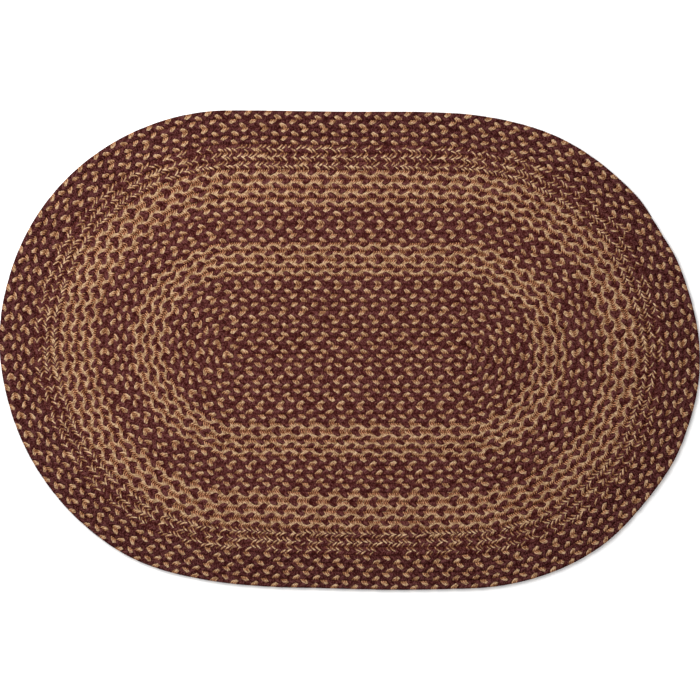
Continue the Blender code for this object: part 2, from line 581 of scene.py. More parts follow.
def switch(tree, choice, if_false, if_true):
    node = add(tree, "GeometryNodeSwitch", {"Switch": choice, "False": if_false, "True": if_true},
               input_type="FLOAT")
    return out(node)


def random_value(tree, draw, kind, lowest, highest, number, seed):
    seed = math_node(tree, "ADD", seed, float(DRAWS[draw]))
    node = add(tree, "FunctionNodeRandomValue", {"Min": lowest, "Max": highest, "ID": number, "Seed": seed},
               data_type=kind)
    return out(node)


print("kinds of random draw:", ", ".join(DRAWS))

# %% [markdown]
# Winding is the step from the straight braid to the coil. The distance along the braid becomes a distance
# along the coil, and the distance across it becomes a distance across the coil. Sample Curve gives the
# place, the direction and the braid's width there. Z crossed with the direction points outwards, because
# the coil runs clockwise. A Curve modifier could bend the braid too, but it knows nothing of the braid's
# width. Where the braid narrows to its tail, it is pressed thinner as well.

# %% Winding a straight braid on to the coil
WIDEST = 0.0059  # nothing lies further from the braid's middle line, so that the rug's edge is even
NARROW, FULL = 0.002, 0.010  # between these widths of the braid its height grows
LOWEST = 0.5  # the share of its height that is left where the braid is narrow


def path_curve(tree, coil_input):
    info = add(tree, "GeometryNodeObjectInfo", {"Object": coil_input})
    return out(add(tree, "GeometryNodeMeshToCurve", {"Mesh": out(info, "Geometry")}))


def sample(tree, curve, name, length):
    """The node that reads the coil's place, direction and one of its facts at a length along it."""
    return add(tree, "GeometryNodeSampleCurve", {"Curves": curve, "Value": named(tree, name),
               "Length": length}, mode="LENGTH", data_type="FLOAT")


def wind(tree, geometry, curve):
    """Moves every point of a straight braid to its place on the coil."""
    along, across, height = separate(tree, out(add(tree, "GeometryNodeInputPosition")))
    there = sample(tree, curve, "braid_width", along)
    width = out(there, "Value")
    outwards = vector_node(tree, "CROSS_PRODUCT", (0, 0, 1), out(there, "Tangent"))
    outwards = vector_node(tree, "NORMALIZE", outwards)
    across = math_node(tree, "MAXIMUM", math_node(tree, "MINIMUM", across, WIDEST), -WIDEST)
    across = math_node(tree, "DIVIDE", math_node(tree, "MULTIPLY", across, width), BRAID_WIDTH)
    flat = vector_node(tree, "ADD", out(there, "Position"), scale_vector(tree, outwards, across))
    height = math_node(tree, "MULTIPLY", height, remap(tree, width, NARROW, FULL, LOWEST, 1.0))
    place = vector_node(tree, "ADD", flat, combine(tree, Z=height))
    return out(add(tree, "GeometryNodeSetPosition", {"Geometry": geometry, "Position": place}))


print(f"a straight braid {BRAID_WIDTH * 1000:.1f} mm wide is wound on to {coil_length:.1f} m of path")

# %% [markdown]
# Every yarn of every stitch gets two facts for the material, on its faces: `light`, which is 1 where the
# yarn is tan, and `tone`, a random shade. A stitch's strand is twice its number modulo three, which is the
# order of a three-strand plait. In the mixed band most strands have one or two tan yarns, as the path
# says, and chance makes some more or fewer.

# %% Which yarns are tan, and how pale each one is
STRANDS = 3
MIX_ORDER = 0.62  # how far the tan yarns of the mixed band take turns. Chance has the rest
MIX_DARKER = 0.8  # how strongly the third strand stays dark where more than a third of the yarns are tan
ANY_MIX = 0.01  # the smallest share of tan yarns that counts as mixed


def strand_of(tree, stitch):
    """The strand, 0 to 2, that a stitch belongs to."""
    return math_node(tree, "FLOORED_MODULO", math_node(tree, "MULTIPLY", stitch, 2.0), float(STRANDS))


def is_tan_strand(tree, stitch, light_strands):
    return math_node(tree, "LESS_THAN", strand_of(tree, stitch),
                     math_node(tree, "SUBTRACT", light_strands, 0.5))


def is_tan_by_mix(tree, stitch, yarn, number, mixed_share, seed):
    """1 for the tan yarns of the mixed band, which take turns but are moved about by chance."""
    strand = strand_of(tree, stitch)
    turn = math_node(tree, "FLOORED_MODULO", math_node(tree, "ADD", strand, yarn), float(YARNS))
    order = math_node(tree, "MULTIPLY_ADD", turn, MIX_ORDER / YARNS, MIX_ORDER / YARNS / 2)
    third = math_node(tree, "GREATER_THAN", strand, STRANDS - 1.5)
    darker = math_node(tree, "MULTIPLY_ADD", mixed_share, MIX_DARKER, -MIX_DARKER / STRANDS)
    order = math_node(tree, "MULTIPLY_ADD", darker, third, order)
    chance = random_value(tree, "mix", "FLOAT", 0.0, 1.0 - MIX_ORDER, number, seed)
    return math_node(tree, "LESS_THAN", math_node(tree, "ADD", order, chance), mixed_share)


def colour_yarns(tree, geometry, stitch, yarn, light_strands, mixed_share, seed):
    """Stores `light` and `tone` on the faces of a braid."""
    number = math_node(tree, "MULTIPLY_ADD", stitch, float(YARNS), yarn)
    light = switch(tree, math_node(tree, "GREATER_THAN", mixed_share, ANY_MIX),
                   is_tan_strand(tree, stitch, light_strands),
                   is_tan_by_mix(tree, stitch, yarn, number, mixed_share, seed))
    geometry = store(tree, geometry, "light", light, "FACE")
    tone = random_value(tree, "tone", "FLOAT", 0.0, 1.0, number, seed)
    return store(tree, geometry, "tone", tone, "FACE")


print(f"{STRANDS} strands of {YARNS} yarns repeat every {STRANDS * PITCH / 2 * 1000:.1f} mm")

# %% [markdown]
# The plait's points lie along a straight line, one every half pitch. Even points carry a stitch of the
# outer side and odd points one of the inner side. Dye swells a yarn a little, so burgundy stitches are
# drawn larger than tan ones. In a light row, where each burgundy stitch lies among tan ones, it stands
# out more, as a large dark dot. Each stitch is also turned, moved and sized a little at random.

# %% The places and sizes of the stitches
# As shares of the stitch's own size, along the braid, across it and up
BURGUNDY_SIZE = (1.07, 1.10, 1.0)
BURGUNDY_AMONG_TAN = (1.18, 1.17, 1.0)
TAN_SIZE = (0.97, 1.0, 0.97)
TAN_AMONG_TAN = (0.97, 1.0, 0.925)
SMALLEST, LARGEST = (0.92, 0.93, 0.97), (1.08, 1.05, 1.0)  # chance picks one more factor between these


def stitch_points(tree, given, curve):
    """The points that the stitches are set on, and each one's number."""
    number = math_node(tree, "ADD", out(add(tree, "GeometryNodeInputIndex")), out(given, "First stitch"))
    along = math_node(tree, "MULTIPLY", number, out(given, "Half pitch"))
    points = out(add(tree, "GeometryNodePoints", {"Count": out(given, "Stitch count"),
                     "Position": combine(tree, X=along)}))
    points = store(tree, points, "stitch", number, "POINT")
    for fact in ("light_strands", "mixed_share"):
        points = store(tree, points, fact, out(sample(tree, curve, fact, along), "Value"), "POINT")
    shift = random_value(tree, "move", "FLOAT_VECTOR", (-1, -1, -1), (1, 1, 0), number, out(given, "Seed"))
    shift = scale_vector(tree, shift, out(given, "Move at random"))
    points = out(add(tree, "GeometryNodeSetPosition", {"Geometry": points, "Offset": shift}))
    return points, number


def stitch_size(tree, given, number):
    """The size of a stitch by its colour, its neighbours' colour and chance."""
    strands = named(tree, "light_strands")
    among_tan = math_node(tree, "GREATER_THAN", strands, 1.5)
    burgundy = mix(tree, "VECTOR", among_tan, BURGUNDY_SIZE, BURGUNDY_AMONG_TAN)
    tan = mix(tree, "VECTOR", among_tan, TAN_SIZE, TAN_AMONG_TAN)
    size = mix(tree, "VECTOR", is_tan_strand(tree, number, strands), burgundy, tan)
    chance = random_value(tree, "size", "FLOAT_VECTOR", SMALLEST, LARGEST, number, out(given, "Seed"))
    return vector_node(tree, "MULTIPLY", size, chance)


print(f"a burgundy stitch is {BURGUNDY_SIZE[0] / TAN_SIZE[0]:.2f} times as long as a tan one")

# %% [markdown]
# The tree that plaits picks one of the stitch versions for each point, sets it there, makes the instances
# real and winds them. Instances alone would be lighter, but an exported model loses them.

# %% The tree that plaits
HIGHEST_DRAW = VERSIONS - 0.001  # rounded down, it still gives the last version


def plait_tree():
    tree, given = new_tree("Plait and wind", {
        "Coil": "Object", "Stitches": "Collection", "First stitch": "Int", "Stitch count": "Int",
        "Half pitch": "Float", "Turn at random": "Float", "Move at random": "Float", "Seed": "Int",
        "Material": "Material"})
    curve, seed = path_curve(tree, out(given, "Coil")), out(given, "Seed")
    points, number = stitch_points(tree, given, curve)
    version = random_value(tree, "version", "FLOAT", 0.0, HIGHEST_DRAW, number, seed)
    side = math_node(tree, "FLOORED_MODULO", number, 2.0)
    pick = math_node(tree, "MULTIPLY_ADD", side, float(VERSIONS), math_node(tree, "FLOOR", version))
    turn = random_value(tree, "turn", "FLOAT", -1.0, 1.0, number, seed)
    turn = math_node(tree, "MULTIPLY", turn, out(given, "Turn at random"))
    pieces = out(add(tree, "GeometryNodeCollectionInfo", {"Collection": out(given, "Stitches"),
                     "Separate Children": True, "Reset Children": True}))
    laid = add(tree, "GeometryNodeInstanceOnPoints", {
        "Points": points, "Instance": pieces, "Pick Instance": True, "Instance Index": pick,
        "Rotation": combine(tree, Z=turn), "Scale": stitch_size(tree, given, number)})
    braid = out(add(tree, "GeometryNodeRealizeInstances", {"Geometry": out(laid)}))
    facts = [named(tree, name) for name in ("stitch", "yarn", "light_strands", "mixed_share")]
    braid = wind(tree, colour_yarns(tree, braid, *facts, seed), curve)
    done = add(tree, "GeometryNodeSetMaterial", {"Geometry": braid, "Material": out(given, "Material")})
    add(tree, "NodeGroupOutput", {"Geometry": out(done)})
    return tree


plait = plait_tree()
print(f"the plaiting tree has {len(plait.nodes)} nodes")

# %% [markdown]
# Under the crossings lies the body of the braid, which is also its underside. There the strands run back
# towards the middle, so the chevrons point the other way, and the rug lies on them. The body is one tube
# along the whole coil, with a ring of eight points every half pitch. Alternate rings are raised and
# lowered, the two sides of the braid in turn, so that each stitch of the underside swells between its
# neighbours. It is pressed flat by the floor, so it needs no more faces than that.

# %% The shape of the body
# Across the braid and up, from the middle of the top down one side, along the underside and up again
BODY_PROFILE = (
    (0.0, 0.0060), (-0.0058, 0.0052), (-0.0046, 0.0009), (-0.0023, 0.0001),
    (0.0, 0.0004), (0.0023, 0.0001), (0.0046, 0.0009), (0.0058, 0.0052),
)
TOP_OF_UNDERSIDE = 0.0038  # what lies lower belongs to the underside


def profile_curve():
    curve = bpy.data.curves.new("body_profile", "CURVE")
    spline = curve.splines.new("POLY")
    spline.points.add(len(BODY_PROFILE) - 1)
    for point, (across, height) in zip(spline.points, BODY_PROFILE):
        point.co = (-across, -height, 0.0, 1.0)  # a profile is turned half round on a line along X
    spline.use_cyclic_u = True
    return bpy.data.objects.new("body_profile", curve)


def straight_tube(tree, given):
    """The profile drawn along a straight line, with each ring's number stored on its points."""
    half, rings = out(given, "Half pitch"), out(given, "Rings")
    last = math_node(tree, "MULTIPLY", math_node(tree, "SUBTRACT", rings, 1.0), half)
    line = out(add(tree, "GeometryNodeCurvePrimitiveLine", {"End": combine(tree, X=last)}))
    line = out(add(tree, "GeometryNodeResampleCurve", {"Curve": line, "Count": rings}))
    profile = add(tree, "GeometryNodeObjectInfo", {"Object": out(given, "Profile")})
    tube = out(add(tree, "GeometryNodeCurveToMesh", {
        "Curve": line, "Profile Curve": out(profile, "Geometry"), "Fill Caps": True}))
    along = separate(tree, out(add(tree, "GeometryNodeInputPosition")))[0]
    ring = math_node(tree, "ROUND", math_node(tree, "DIVIDE", along, half))
    return store(tree, tube, "ring", ring, "POINT"), ring


profile = profile_curve()
print(f"the body's profile has {len(BODY_PROFILE)} points")

# %% [markdown]
# Each point of the tube is then moved three ways: up, where the underside is drawn in between two
# stitches; to the side, where a strand reaches over the middle line; and along, because the strands slant.
# A ring is even or odd, and a point left, right or in the middle, and that decides every move.

# %% The stitches of the underside
# How far along a strand lies at the middle line. It is a millimetre less for each millimetre further out,
# so that in the seam the strand meets the end of its stitch on the top.
SLANT_AT_MIDDLE = BRAID_WIDTH / 2 + STITCH_RINGS[-1].along


def shape_underside(tree, given, tube, ring):
    """Swells the tube where a strand crosses it from below."""
    x, y, z = separate(tree, out(add(tree, "GeometryNodeInputPosition")))
    alternate = math_node(tree, "MULTIPLY_ADD", math_node(tree, "FLOORED_MODULO", ring, 2.0), -2.0, 1.0)
    side = math_node(tree, "SIGN", y)
    off_middle = math_node(tree, "ABSOLUTE", side)
    below = math_node(tree, "LESS_THAN", z, TOP_OF_UNDERSIDE)
    on_crest = math_node(tree, "MULTIPLY", alternate, side)
    lift = math_node(tree, "MULTIPLY_ADD", on_crest, -0.5, 0.5)
    for factor in (out(given, "Relief"), below, off_middle):
        lift = math_node(tree, "MULTIPLY", lift, factor)
    swing = math_node(tree, "MULTIPLY", alternate, out(given, "Zigzag"))
    swing = math_node(tree, "MULTIPLY", swing, math_node(tree, "SUBTRACT", off_middle, 1.0))
    slant = math_node(tree, "SUBTRACT", SLANT_AT_MIDDLE, math_node(tree, "ABSOLUTE", y))
    moved = combine(tree, X=slant, Y=swing, Z=lift)
    return out(add(tree, "GeometryNodeSetPosition", {"Geometry": tube, "Offset": moved}))


def crossing_stitch(tree):
    """The number of the stitch that a face of the underside belongs to."""
    y = separate(tree, out(add(tree, "GeometryNodeInputPosition")))[1]
    first = math_node(tree, "FLOOR", named(tree, "ring"))
    pair = math_node(tree, "FLOOR", math_node(tree, "MULTIPLY_ADD", first, 0.5, 0.5))
    outer = math_node(tree, "MULTIPLY", pair, 2.0)
    pair = math_node(tree, "FLOOR", math_node(tree, "MULTIPLY", first, 0.5))
    inner = math_node(tree, "MULTIPLY_ADD", pair, 2.0, 1.0)
    return switch(tree, math_node(tree, "GREATER_THAN", y, 0.0), inner, outer)


print(f"at the middle line the underside is moved {SLANT_AT_MIDDLE * 1000:.2f} mm along the braid")

# %% [markdown]
# The underside's stitches have the same strand order as the top's, so a tan strand that turns down at the
# rug's edge goes on below it. Above, in the seams between two rows, only a little of the body shows. It
# is tan in a light row and burgundy in any other.

# %% The tree of the body
def body_tree():
    tree, given = new_tree("Body and underside", {
        "Coil": "Object", "Profile": "Object", "Rings": "Int", "Half pitch": "Float", "Relief": "Float",
        "Zigzag": "Float", "Seed": "Int", "Material": "Material"})
    curve = path_curve(tree, out(given, "Coil"))
    tube, ring = straight_tube(tree, given)
    tube = shape_underside(tree, given, tube, ring)
    stitch = crossing_stitch(tree)
    along = math_node(tree, "MULTIPLY", stitch, out(given, "Half pitch"))
    z = separate(tree, out(add(tree, "GeometryNodeInputPosition")))[2]
    below = math_node(tree, "LESS_THAN", z, TOP_OF_UNDERSIDE)
    strands = out(sample(tree, curve, "light_strands", along), "Value")
    all_or_none = math_node(tree, "MULTIPLY_ADD", strands, float(STRANDS), -float(STRANDS))
    strands = switch(tree, below, all_or_none, strands)
    share = out(sample(tree, curve, "mixed_share", along), "Value")
    share = math_node(tree, "MULTIPLY", share, below)
    tube = wind(tree, colour_yarns(tree, tube, stitch, 0.0, strands, share, out(given, "Seed")), curve)
    smooth = add(tree, "GeometryNodeSetShadeSmooth", {"Geometry": tube, "Shade Smooth": True})
    real = add(tree, "GeometryNodeRealizeInstances", {"Geometry": out(smooth)})
    done = add(tree, "GeometryNodeSetMaterial", {"Geometry": out(real), "Material": out(given, "Material")})
    add(tree, "NodeGroupOutput", {"Geometry": out(done)})
    return tree


body_builder = body_tree()
print(f"the body's tree has {len(body_builder.nodes)} nodes")

# %% [markdown]
# Jute is a matt, slightly hairy plant fibre. Each yarn is one loose twist, so fine streaks run along it
# at a slant, and dyed jute takes the colour unevenly, in longer patches that follow the twist. Both are
# one node group, used by the braid and by its underside. An image of jute would repeat over the stitches,
# but noise that is shifted by each yarn's own tone never does.

# %% Jute streaks
SLANT = 0.45  # how far a streak runs across the yarn for each metre along it
FINE_SCALE, PATCH_SCALE = 4200.0, 800.0
FINE_STRETCH, PATCH_STRETCH = 0.12, 0.45  # both are longer along the yarn than across it


def new_group(name, inputs, outputs):
    """A shader node group with named inputs and outputs, each of its own kind."""
    group = bpy.data.node_groups.new(name, "ShaderNodeTree")
    for in_out, sockets in (("INPUT", inputs), ("OUTPUT", outputs)):
        for label, kind in sockets.items():
            group.interface.new_socket(label, in_out=in_out, socket_type=f"NodeSocket{kind}")
    return group, group.nodes.new("NodeGroupInput")


def along_the_twist(group, vector, stretch):
    """The vector slanted as the fibres of a twisted yarn are, and stretched along the yarn."""
    x, y, z = separate(group, vector)
    across = math_node(group, "MULTIPLY_ADD", y, SLANT, x)
    return combine(group, X=across, Y=math_node(group, "MULTIPLY", y, stretch), Z=z)


def jute_streaks():
    """Streaks and patches of fibre. The vector runs across a yarn in X and along it in Y."""
    group, given = new_group("Jute streaks", {"Vector": "Vector"}, {"Streaks": "Float", "Clumps": "Float"})
    streak = along_the_twist(group, out(given, "Vector"), FINE_STRETCH)
    fine = add(group, "ShaderNodeTexNoise", {"Vector": streak, "Scale": FINE_SCALE, "Detail": 3.0,
               "Roughness": 0.65, "Distortion": 0.4})
    patch = along_the_twist(group, out(given, "Vector"), PATCH_STRETCH)
    coarse = add(group, "ShaderNodeTexNoise", {"Vector": patch, "Scale": PATCH_SCALE, "Detail": 2.0,
                 "Roughness": 0.6})
    add(group, "NodeGroupOutput", {"Streaks": out(fine, "Fac"), "Clumps": out(coarse, "Fac")})
    return group


streaks = jute_streaks()
print(f"a patch of dye is about {1000 / PATCH_SCALE:.1f} mm wide")

# %% [markdown]
# Every dye lot of a yarn has a deep, a middle and a pale shade, and a second group mixes the three. A
# yarn's own tone, its streaks and its patches add up to one value, which goes from deep to pale. A third
# group finds the gap between two yarns from the stitch's UV map, where each yarn is one unit wide.

# %% The shades of a dyed yarn and the gaps between yarns
TONE_WEIGHT = 0.25
PATCH_WEIGHT = 3.1
MIDDLE_SHADE = 2.175  # the sum that gives the middle shade
SHADE_RANGE = 0.28  # how far the deep and the pale shade lie from it
GAP_START, GAP_END = 0.35, 0.65  # from a yarn's middle (0) to its edge (1), where the gap's shade comes in


def yarn_shades():
    """Three shades of one yarn, mixed by its tone, its streaks and its patches of dye."""
    group, given = new_group("Yarn shades", {
        "Deep": "Color", "Middle": "Color", "Pale": "Color", "Tone": "Float", "Streaks": "Float",
        "Clumps": "Float"}, {"Color": "Color"})
    shade = math_node(group, "MULTIPLY_ADD", out(given, "Tone"), TONE_WEIGHT, out(given, "Streaks"))
    shade = math_node(group, "MULTIPLY_ADD", out(given, "Clumps"), PATCH_WEIGHT, shade)
    to_middle = remap(group, shade, MIDDLE_SHADE - SHADE_RANGE, MIDDLE_SHADE)
    to_pale = remap(group, shade, MIDDLE_SHADE, MIDDLE_SHADE + SHADE_RANGE)
    colour = mix(group, "RGBA", to_middle, out(given, "Deep"), out(given, "Middle"))
    add(group, "NodeGroupOutput", {"Color": mix(group, "RGBA", to_pale, colour, out(given, "Pale"))})
    return group


def yarn_gaps():
    """From a stitch's UV map, 0 on a yarn and 1 in the gap between two. Opening makes the gap wider."""
    group, given = new_group("Yarn gaps", {"UV": "Vector", "Opening": "Float"}, {"Gap": "Float"})
    across_yarns = separate(group, out(given, "UV"))[0]
    off = math_node(group, "SUBTRACT", math_node(group, "FRACT", across_yarns), 0.5)
    gap = math_node(group, "MULTIPLY", math_node(group, "ABSOLUTE", off), 2.0)
    gap = math_node(group, "MULTIPLY", gap, out(given, "Opening"))
    add(group, "NodeGroupOutput", {"Gap": remap(group, gap, GAP_START, GAP_END)})
    return group


shades = yarn_shades()
gaps = yarn_gaps()
print("shader groups:", [group.name for group in (streaks, shades, gaps)])

# %% [markdown]
# The rug has one tan, which is undyed jute, and two dye lots of burgundy, a darker one for the four rows
# at the edge. The colours are in linear light.

# %% The dye lots
BURGUNDY = {
    "Deep": (0.026, 0.0029, 0.0022, 1),
    "Middle": (0.058, 0.0120, 0.0100, 1),
    "Pale": (0.122, 0.044, 0.040, 1),
}
EDGE_BURGUNDY = {
    "Deep": (0.019, 0.0020, 0.0015, 1),
    "Middle": (0.047, 0.0095, 0.0082, 1),
    "Pale": (0.102, 0.036, 0.034, 1),
}
TAN = {
    "Deep": (0.168, 0.083, 0.037, 1),
    "Middle": (0.342, 0.208, 0.107, 1),
    "Pale": (0.540, 0.374, 0.226, 1),
}
print(f"the edge's burgundy is {EDGE_BURGUNDY['Middle'][0] / BURGUNDY['Middle'][0]:.2f} times as light")

# %% [markdown]
# Rugs of this kind are laced with a burgundy thread. It disappears in the burgundy yarns, but where it
# pulls tan yarns together it reddens them near the seam. There the yarns dive, and the seam and the gaps
# between the yarns lie in shade, which shows as fine dark ticks. The shades below are multiplied over the
# dye, and they are partly the thread's red and partly painted shade: `over_burgundy` and `over_tan` at
# the seam, and the gap shade between two yarns. They are strongest in the light rows, where tan meets tan.
# Modelling the thread itself would be possible, but it is thinner than a millimetre and sunk between the
# yarns.

# %% The lacing's red and the painted shade at the seams
# over_burgundy and over_tan: the red and painted shade at the seam over each colour of yarn; gap and
# crown_gap: how strongly the painted shade between yarns comes in at the seam and on the crown
Seam = namedtuple("Seam", "over_burgundy over_tan gap crown_gap")
DARK_SEAM = Seam((0.92, 0.84, 0.80, 1), (0.84, 0.62, 0.54, 1), 0.60, 0.26)
LIGHT_SEAM = Seam((0.92, 0.84, 0.80, 1), (0.90, 0.61, 0.54, 1), 1.0, 0.26)
MIXED_SEAM = Seam((0.86, 0.74, 0.68, 1), (0.68, 0.47, 0.39, 1), 0.8, 0.05)
# painted shade between two yarns, reddened where the burgundy thread shows in it
PAINTED_GAP_SHADE = ((0.80, 0.62, 0.56, 1), (0.15, 0.045, 0.030, 1))  # over burgundy and over tan
GAP_OPENING = 1.15  # how much wider the gaps are at the seam


def attribute(tree, name):
    return out(add(tree, "ShaderNodeAttribute", attribute_name=name), "Fac")


def uv_map(tree):
    return out(add(tree, "ShaderNodeUVMap", uv_map="UVMap"))


def shade_seam(tree, dyed, seam_kind):
    """Reddens and shades the yarns near the seam, and paints shade into the gaps between them, there most
    of all.
    """
    light, seam = attribute(tree, "light"), attribute(tree, "seam")
    seam_red_and_shade = mix(tree, "RGBA", light, seam_kind.over_burgundy, seam_kind.over_tan)
    dyed = mix(tree, "RGBA", seam, dyed, seam_red_and_shade, mode="MULTIPLY")
    opening = remap(tree, seam, 0.0, 1.0, 1.0, GAP_OPENING)
    gap = add(tree, "ShaderNodeGroup", {"UV": uv_map(tree), "Opening": opening}, node_tree=gaps)
    strength = remap(tree, seam, 0.0, 1.0, seam_kind.crown_gap, seam_kind.gap)
    share = math_node(tree, "MULTIPLY", out(gap, "Gap"), strength)
    return mix(tree, "RGBA", share, dyed, mix(tree, "RGBA", light, *PAINTED_GAP_SHADE), mode="MULTIPLY")


for rows, seam_kind in (("dark", DARK_SEAM), ("light", LIGHT_SEAM), ("mixed", MIXED_SEAM)):
    red_left = 1.0 - seam_kind.gap * (1.0 - PAINTED_GAP_SHADE[1][0])
    print(f"{rows} rows: at the seam, a gap between tan yarns keeps {red_left:.0%} of its red")

# %% [markdown]
# One material makes both colours of yarn. It reads each yarn's own `light` and `tone`, and the `depth`
# below the crown, by which the hollows are darkened: a painted shade for the shade that falls there, with
# some lint and dust. The Principled BSDF stays in the material, almost without gloss, and the streaks
# raise the surface a little as a bump.

# %% The jute material
# painted shade for the hollows: it stands for the shade that falls there, with some lint and dust
PAINTED_HOLLOW_SHADE = (0.45, 0.30, 0.26, 1)
PAINTED_HOLLOW_START = 0.30  # the depth from which the hollows darken
ROUGHEST, SMOOTHEST = 0.96, 0.80
STREAK_LOW, STREAK_HIGH = 0.3, 0.7  # between these values of a streak the jute grows smoother
BUMP_STRENGTH = 0.6
GLOSS = 0.05


def dye(tree, fibres, burgundy):
    """The colour of every yarn, burgundy or tan, with its own tone."""
    colours = []
    for shades_of_yarn in (burgundy, TAN):
        inputs = {**shades_of_yarn, "Tone": attribute(tree, "tone")}
        for key in ("Streaks", "Clumps"):
            inputs[key] = out(fibres, key)
        colours.append(out(add(tree, "ShaderNodeGroup", inputs, node_tree=shades)))
    return mix(tree, "RGBA", attribute(tree, "light"), *colours)


def jute_material(name, burgundy, vector, fibre_height, painted_hollow_darkness, seam_kind=None):
    """Jute yarns over a surface whose streaks follow the given vector."""
    material = bpy.data.materials.new(name)
    material.use_nodes = True
    tree = material.node_tree
    shader = tree.nodes["Principled BSDF"]
    fibres = add(tree, "ShaderNodeGroup", {"Vector": vector(tree)}, node_tree=streaks)
    dyed = dye(tree, fibres, burgundy)
    painted_hollow_share = remap(tree, attribute(tree, "depth"), PAINTED_HOLLOW_START, 1.0, 0.0, painted_hollow_darkness)
    dyed = mix(tree, "RGBA", painted_hollow_share, dyed, PAINTED_HOLLOW_SHADE, mode="MULTIPLY")
    if seam_kind:
        dyed = shade_seam(tree, dyed, seam_kind)
    fill(tree, shader.inputs["Base Color"], dyed)
    roughness = remap(tree, out(fibres, "Streaks"), STREAK_LOW, STREAK_HIGH, ROUGHEST, SMOOTHEST)
    fill(tree, shader.inputs["Roughness"], roughness)
    bump = add(tree, "ShaderNodeBump", {"Height": out(fibres, "Streaks"), "Strength": BUMP_STRENGTH,
               "Distance": fibre_height})
    fill(tree, shader.inputs["Normal"], out(bump))
    shader.inputs["Specular IOR Level"].default_value = GLOSS
    return material


print(f"the jute's roughness lies between {SMOOTHEST} and {ROUGHEST}")

# %% [markdown]
# On the stitches the streaks follow the UV map, which runs across and along every yarn, so they turn with
# the strand. The underside lies on the floor, and there the rug's own coordinates are good enough. Each
# band is a piece and has its material: its dye lot, and the red and the painted shade of its seams.

# %% A material for each band
YARN_WIDTH, STITCH_LENGTH = 0.0021, 0.0095  # what one unit of the UV map measures across and along a yarn
BRAID_FIBRE, UNDERSIDE_FIBRE = 0.0004, 0.0006  # how far the fibres stand up
# how dark the painted shade makes the deepest hollows, on the braid and on the underside
BRAID_PAINTED_HOLLOWS, UNDERSIDE_PAINTED_HOLLOWS = 0.45, 0.5  # how dark the deepest hollows are
FINISHES = {
    "centre_field": (BURGUNDY, DARK_SEAM),
    "inner_light_band": (BURGUNDY, LIGHT_SEAM),
    "middle_dark_band": (BURGUNDY, DARK_SEAM),
    "outer_light_band": (BURGUNDY, LIGHT_SEAM),
    "mixed_band": (BURGUNDY, MIXED_SEAM),
    "edge_band": (EDGE_BURGUNDY, DARK_SEAM),
}


def along_the_yarn(tree):
    """The stitch's own UV map, in metres across and along each yarn, shifted by the yarn's tone."""
    sized = vector_node(tree, "MULTIPLY", uv_map(tree), (YARN_WIDTH, STITCH_LENGTH, 0.0))
    return vector_node(tree, "ADD", sized, combine(tree, Z=attribute(tree, "tone")))


def over_the_rug(tree):
    return out(add(tree, "ShaderNodeTexCoord"), "Object")


band_jute = {}
for band_name, (burgundy, seam_kind) in FINISHES.items():
    band_jute[band_name] = jute_material(f"{band_name}_jute", burgundy, along_the_yarn, BRAID_FIBRE,
                                         BRAID_PAINTED_HOLLOWS, seam_kind)
underside_jute = jute_material("underside jute", BURGUNDY, over_the_rug, UNDERSIDE_FIBRE, UNDERSIDE_PAINTED_HOLLOWS)
print("materials:", [material.name for material in (*band_jute.values(), underside_jute)])

# %% [markdown]
# A Geometry Nodes result lives only as long as its modifier. This helper runs a tree on an empty object,
# keeps what comes out as a plain mesh and takes the modifier away. An input is set by its socket's
# identifier, because two inputs may share a name.

# %% Run a tree and keep its mesh
def run_tree(name, tree, values):
    """Runs a tree on an empty object and keeps its result as a plain mesh."""
    holder = bpy.data.objects.new(name, bpy.data.meshes.new(name))
    bpy.context.scene.collection.objects.link(holder)
    modifier = holder.modifiers.new(tree.name, "NODES")
    modifier.node_group = tree
    for item in tree.interface.items_tree:
        if item.in_out == "INPUT":
            modifier[item.identifier] = values[item.name]
    shown = holder.evaluated_get(bpy.context.evaluated_depsgraph_get())
    mesh = bpy.data.meshes.new_from_object(shown)
    holder.modifiers.remove(modifier)
    holder.data = mesh
    mesh.name = name
    if mesh.materials[0] is None:
        mesh.materials.pop(index=0)  # an empty slot, from the bare meshes that the tree began with
    mesh.calc_loop_triangles()
    print(f"{name}: {len(mesh.loop_triangles)} triangles")
    return holder


# %% [markdown]
# The braid is plaited band by band, so that each band is a piece of its own and stays a reasonable size,
# but the stitch numbers run on from band to band, as they do in one long braid. The mixed band's stitches
# are turned a little more, because its strands of two colours lie less evenly.

# %% Plait and wind every band
HALF_PITCH = PITCH / 2
TURN, MIXED_TURN = 0.12, 0.18  # how far a stitch turns at random, in radians
MOVE = 0.00035  # how far it moves at random, along, across and down
stitch_starts = [math.ceil(start / HALF_PITCH) for start in (*band_starts.values(), coil_length)]
braids = []
for band, first, end in zip(BANDS, stitch_starts, stitch_starts[1:]):
    braids.append(run_tree(band.name, plait, {
        "Coil": coil, "Stitches": stitches, "First stitch": first, "Stitch count": end - first,
        "Half pitch": HALF_PITCH, "Turn at random": MIXED_TURN if band.mixed_share else TURN,
        "Move at random": MOVE, "Seed": SEED, "Material": band_jute[band.name]}))

# %% [markdown]
# The body and underside are wound in the same way, in one piece from the middle to the tail.

# %% Wind the body and underside
UNDER_RELIEF = 0.0012  # how far the underside is drawn in between two stitches
UNDER_ZIGZAG = 0.0011  # how far the strands of one side reach over the middle line
body = run_tree("braid_underside", body_builder, {
    "Coil": coil, "Profile": profile, "Rings": int(coil_length / HALF_PITCH), "Half pitch": HALF_PITCH,
    "Relief": UNDER_RELIEF, "Zigzag": UNDER_ZIGZAG, "Seed": SEED, "Material": underside_jute})

# %% [markdown]
# The stitch versions, the path and the profile have done their work. They go, so that the scene holds
# only what a visitor would see.

# %% Put the helpers away
for item in [*stitches.objects, coil, profile]:
    bpy.data.objects.remove(item, do_unlink=True)
bpy.data.collections.remove(stitches)
print("left in the scene:", [item.name for item in bpy.context.scene.objects if item.type == "MESH"])

